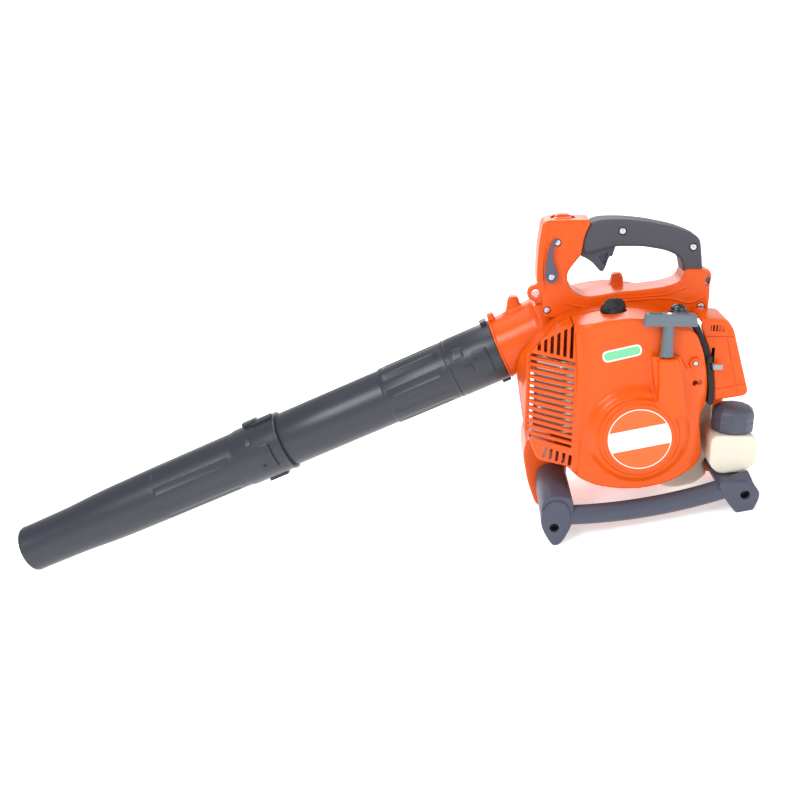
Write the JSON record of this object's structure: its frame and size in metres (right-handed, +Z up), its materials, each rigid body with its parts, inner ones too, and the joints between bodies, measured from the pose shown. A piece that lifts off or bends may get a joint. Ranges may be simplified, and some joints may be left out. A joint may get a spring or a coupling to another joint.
{
  "type": "leaf blower",
  "caption": "Hand-held petrol leaf blower: scroll fan housing, two-piece bayonet air tube, top handle, recoil starter and skid stand.",
  "frame": {"origin": "on the floor, under the middle of the machine's overall box", "axes": "-X forward along the air tube, +Y towards the air intake side, +Z up"},
  "size_m": [0.8702, 0.1919, 0.3275],
  "materials": {
    "orange_housing": "gloss moulded",
    "charcoal_plastic": "satin moulded",
    "slate_plastic": "satin moulded",
    "grip_plastic": "fine texture",
    "pull_handle_plastic": "satin moulded",
    "tank_plastic": "translucent blow-moulded",
    "black_rubber": "moulded",
    "die_cast": "as cast",
    "steel": "ground",
    "zinc_screw": "zinc plated",
    "badge_foil": "printed foil",
    "rope_cord": "braided",
    "porcelain": "glazed",
    "filter_foam": "open-cell foam",
    "muffler_steel": "pressed"
  },
  "bodies": {
    "housing": {"volute_engine_side": "orange_housing", "volute_intake_side": "orange_housing", "intake_guard": "charcoal_plastic", "engine_cover": "orange_housing", "cover_badges": "badge_foil", "recoil_spring": "steel", "ignition_coil": "black_rubber", "spark_plug": "porcelain", "plug_boot": "black_rubber", "ignition_lead": "black_rubber", "cylinder_block": "die_cast", "piston": "die_cast", "piston_pin": "steel", "connecting_rod": "steel", "crank_throw": "steel", "crankcase_far_half": "die_cast", "crankcase_near_half": "die_cast", "main_bearings": "steel", "oil_seals": "black_rubber", "muffler": "muffler_steel", "muffler_gasket": "steel", "intake_insulator": "black_rubber", "carburettor": "die_cast", "air_filter_base": "black_rubber", "air_filter_element": "filter_foam", "air_filter_cover": "orange_housing", "fuel_tank": "tank_plastic", "fuel_line": "black_rubber", "handle_near_half": "orange_housing", "handle_far_half": "orange_housing", "grip_near_half": "grip_plastic", "grip_far_half": "grip_plastic", "trigger_pin": "steel", "trigger_spring": "steel", "throttle_cable": "black_rubber", "front_foot": "slate_plastic", "rear_foot": "slate_plastic", "stand_bar": "slate_plastic", "handle_screws": "zinc_screw", "housing_screws": "zinc_screw", "stand_screws": "zinc_screw"},
    "rotor": {"fan_impeller": "charcoal_plastic", "fan_nut": "zinc_screw", "flywheel": "die_cast", "crankshaft_fan_end": "steel", "crankshaft_starter_end": "steel"},
    "upper_tube": {"upper_tube": "charcoal_plastic"},
    "nozzle": {"nozzle_tube": "charcoal_plastic"},
    "pulley": {"starter_pulley": "charcoal_plastic", "starter_rope": "rope_cord"},
    "pull_handle": {"starter_handle": "pull_handle_plastic"},
    "throttle": {"throttle_valve": "steel"},
    "choke": {"choke_lever": "slate_plastic"},
    "primer": {"primer_bulb": "black_rubber"},
    "cap_seal": {"fuel_cap_gasket": "black_rubber"},
    "cap": {"fuel_cap": "slate_plastic"},
    "trigger": {"throttle_trigger": "slate_plastic"},
    "cruise": {"cruise_lever": "slate_plastic"},
    "stop": {"stop_switch": "orange_housing"}
  },
  "joints": [
    {"name": "fan_spin", "type": "hinge", "parent": "housing", "child": "rotor", "pos_m": [0.309, 0.02, 0.101], "axis": [0, 1, 0], "continuous": true},
    {"name": "upper_tube_twist", "type": "hinge", "parent": "housing", "child": "upper_tube", "pos_m": [0.18519, 0.045, 0.18626], "axis": [0.9774, 0, 0.2113], "range_deg": [0, 25]},
    {"name": "nozzle_twist", "type": "hinge", "parent": "upper_tube", "child": "nozzle", "pos_m": [-0.08067, 0.045, 0.12878], "axis": [0.9774, 0, 0.2113], "range_deg": [0, 25]},
    {"name": "starter_pull", "type": "slide", "parent": "housing", "child": "pull_handle", "axis": [0.2164, 0, 0.9763], "range_m": [0, 0.65], "stiffness_N_per_m": 8, "springref_m": -0.25},
    {"name": "pulley_spin", "type": "hinge", "parent": "housing", "child": "pulley", "pos_m": [0.309, -0.087, 0.101], "axis": [0, -1, 0], "range_deg": [0, 1649.9]},
    {"name": "trigger_squeeze", "type": "hinge", "parent": "housing", "child": "trigger", "pos_m": [0.29719, 0.02, 0.28799], "axis": [0, -1, 0], "range_deg": [0, 15], "stiffness_Nm_per_rad": 0.4, "springref_deg": -17.19, "deforming": ["trigger_spring"]},
    {"name": "throttle_turn", "type": "hinge", "parent": "housing", "child": "throttle", "pos_m": [0.37991, -0.027, 0.15288], "axis": [0, -1, 0], "range_deg": [0, 75]},
    {"name": "cruise_turn", "type": "hinge", "parent": "housing", "child": "cruise", "pos_m": [0.25503, -0.003, 0.26599], "axis": [0, 1, 0], "range_deg": [0, 40]},
    {"name": "choke_swing", "type": "hinge", "parent": "housing", "child": "choke", "pos_m": [0.39776, -0.05, 0.15302], "axis": [-0.9763, 0, 0.2164], "range_deg": [0, 50]},
    {"name": "primer_press", "type": "slide", "parent": "housing", "child": "primer", "axis": [-0.2164, 0, -0.9763], "range_m": [0, 0.004], "stiffness_N_per_m": 400, "springref_m": -0.002},
    {"name": "cap_rise", "type": "slide", "parent": "housing", "child": "cap_seal", "axis": [0.2164, 0, 0.9763], "range_m": [0, 0.004]},
    {"name": "cap_turn", "type": "hinge", "parent": "cap_seal", "child": "cap", "pos_m": [0.40927, -0.054, 0.07877], "axis": [0.2164, 0, 0.9763], "range_deg": [0, 361]},
    {"name": "stop_rock", "type": "hinge", "parent": "housing", "child": "stop", "pos_m": [0.27841, 0.02, 0.31878], "axis": [0, 1, 0], "range_deg": [-7, 7]}
  ],
  "couplings": [
    {"joint": "pulley_spin", "follows": "starter_pull", "rad_per_m": 44.248},
    {"joint": "throttle_turn", "follows": "trigger_squeeze", "ratio": 5},
    {"joint": "cap_turn", "follows": "cap_rise", "rad_per_m": 1570.8}
  ]
}
